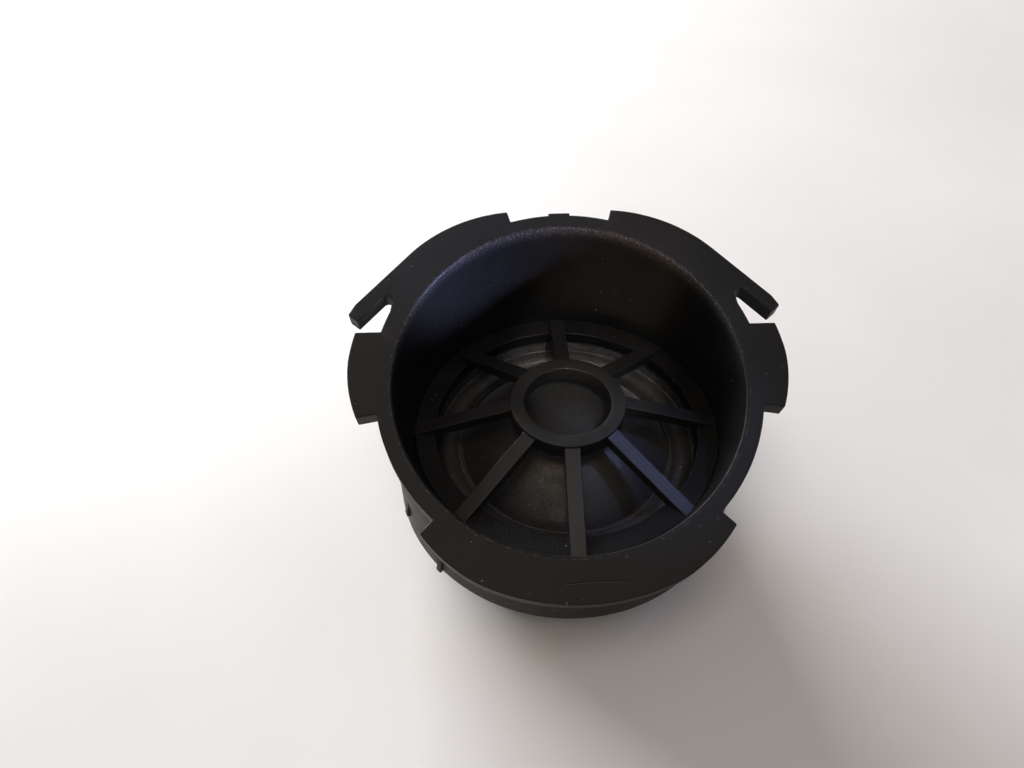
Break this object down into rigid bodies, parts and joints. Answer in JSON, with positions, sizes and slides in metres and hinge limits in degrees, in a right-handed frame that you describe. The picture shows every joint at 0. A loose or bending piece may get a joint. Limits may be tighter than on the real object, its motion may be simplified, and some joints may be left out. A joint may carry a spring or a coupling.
{
  "type": "car tweeter",
  "caption": "Soft-dome car tweeter in an obliquely cut cup, with a spoked guard, a keyed mounting flange with snap arms and a rear plug socket.",
  "frame": {"origin": "centre of the flat rear face of the cover, which the part rests on", "axes": "+Z along the driver's axis out of the cup's mouth; +Y towards the high side of the slanted rim and the plug socket; +X to the right seen from the low side of the rim"},
  "size_m": [0.0504, 0.0555, 0.031],
  "materials": {
    "housing_plastic": "moulded, fine spark grain",
    "guard_plastic": "moulded, satin",
    "cover_plastic": "moulded, fine grain",
    "chassis_plastic": "moulded, glass filled",
    "dome_cloth": "coated woven textile",
    "surround_cloth": "coated textile, satin",
    "foam": "open-cell foam",
    "felt": "pressed felt",
    "bare_aluminium": "drawn",
    "copper_winding": "enamelled copper wire",
    "zinc_steel": "zinc plated",
    "nickel_plate": "nickel plated",
    "tinned_brass": "tinned",
    "capacitor_sleeve": "shrunk sleeve",
    "wire_sleeve": "smooth sleeve"
  },
  "bodies": {
    "housing": {"front_housing": "housing_plastic", "guard_grille": "guard_plastic", "front_gasket": "foam", "chassis_ring": "chassis_plastic", "yoke_cup": "zinc_steel", "magnet": "nickel_plate", "pole_plate": "zinc_steel", "dome_felt": "felt", "rear_cover": "cover_plastic", "rear_foam": "foam", "connector_shroud": "chassis_plastic", "terminal_pin_positive": "tinned_brass", "terminal_pin_negative": "tinned_brass", "solder_tag_positive": "tinned_brass", "solder_tag_negative": "tinned_brass", "tinsel_lead_positive": "copper_winding", "tinsel_lead_negative": "copper_winding", "filter_capacitor": "capacitor_sleeve", "capacitor_lead_to_pin": "bare_aluminium", "capacitor_lead_to_tag": "bare_aluminium", "lead_wire_negative": "wire_sleeve"},
    "diaphragm": {"dome": "dome_cloth", "surround": "surround_cloth", "coil_former": "bare_aluminium", "voice_coil": "copper_winding"},
    "left_arm": {"snap_arm_left": "housing_plastic"},
    "right_arm": {"snap_arm_right": "housing_plastic"}
  },
  "joints": [
    {"name": "dome_travel", "type": "slide", "parent": "housing", "child": "diaphragm", "axis": [0, 0, 1], "range_m": [-0.0004, 0.0004], "stiffness_N_per_m": 100, "deforming": ["surround"]},
    {"name": "left_arm_flex", "type": "hinge", "parent": "housing", "child": "left_arm", "pos_m": [-0.02199, 0.01117, 0.02633], "axis": [0, -0.3256, 0.9455], "range_deg": [0, 6], "stiffness_Nm_per_rad": 0.02},
    {"name": "right_arm_flex", "type": "hinge", "parent": "housing", "child": "right_arm", "pos_m": [0.02199, 0.01117, 0.02633], "axis": [0, 0.3256, -0.9455], "range_deg": [0, 6], "stiffness_Nm_per_rad": 0.02}
  ]
}
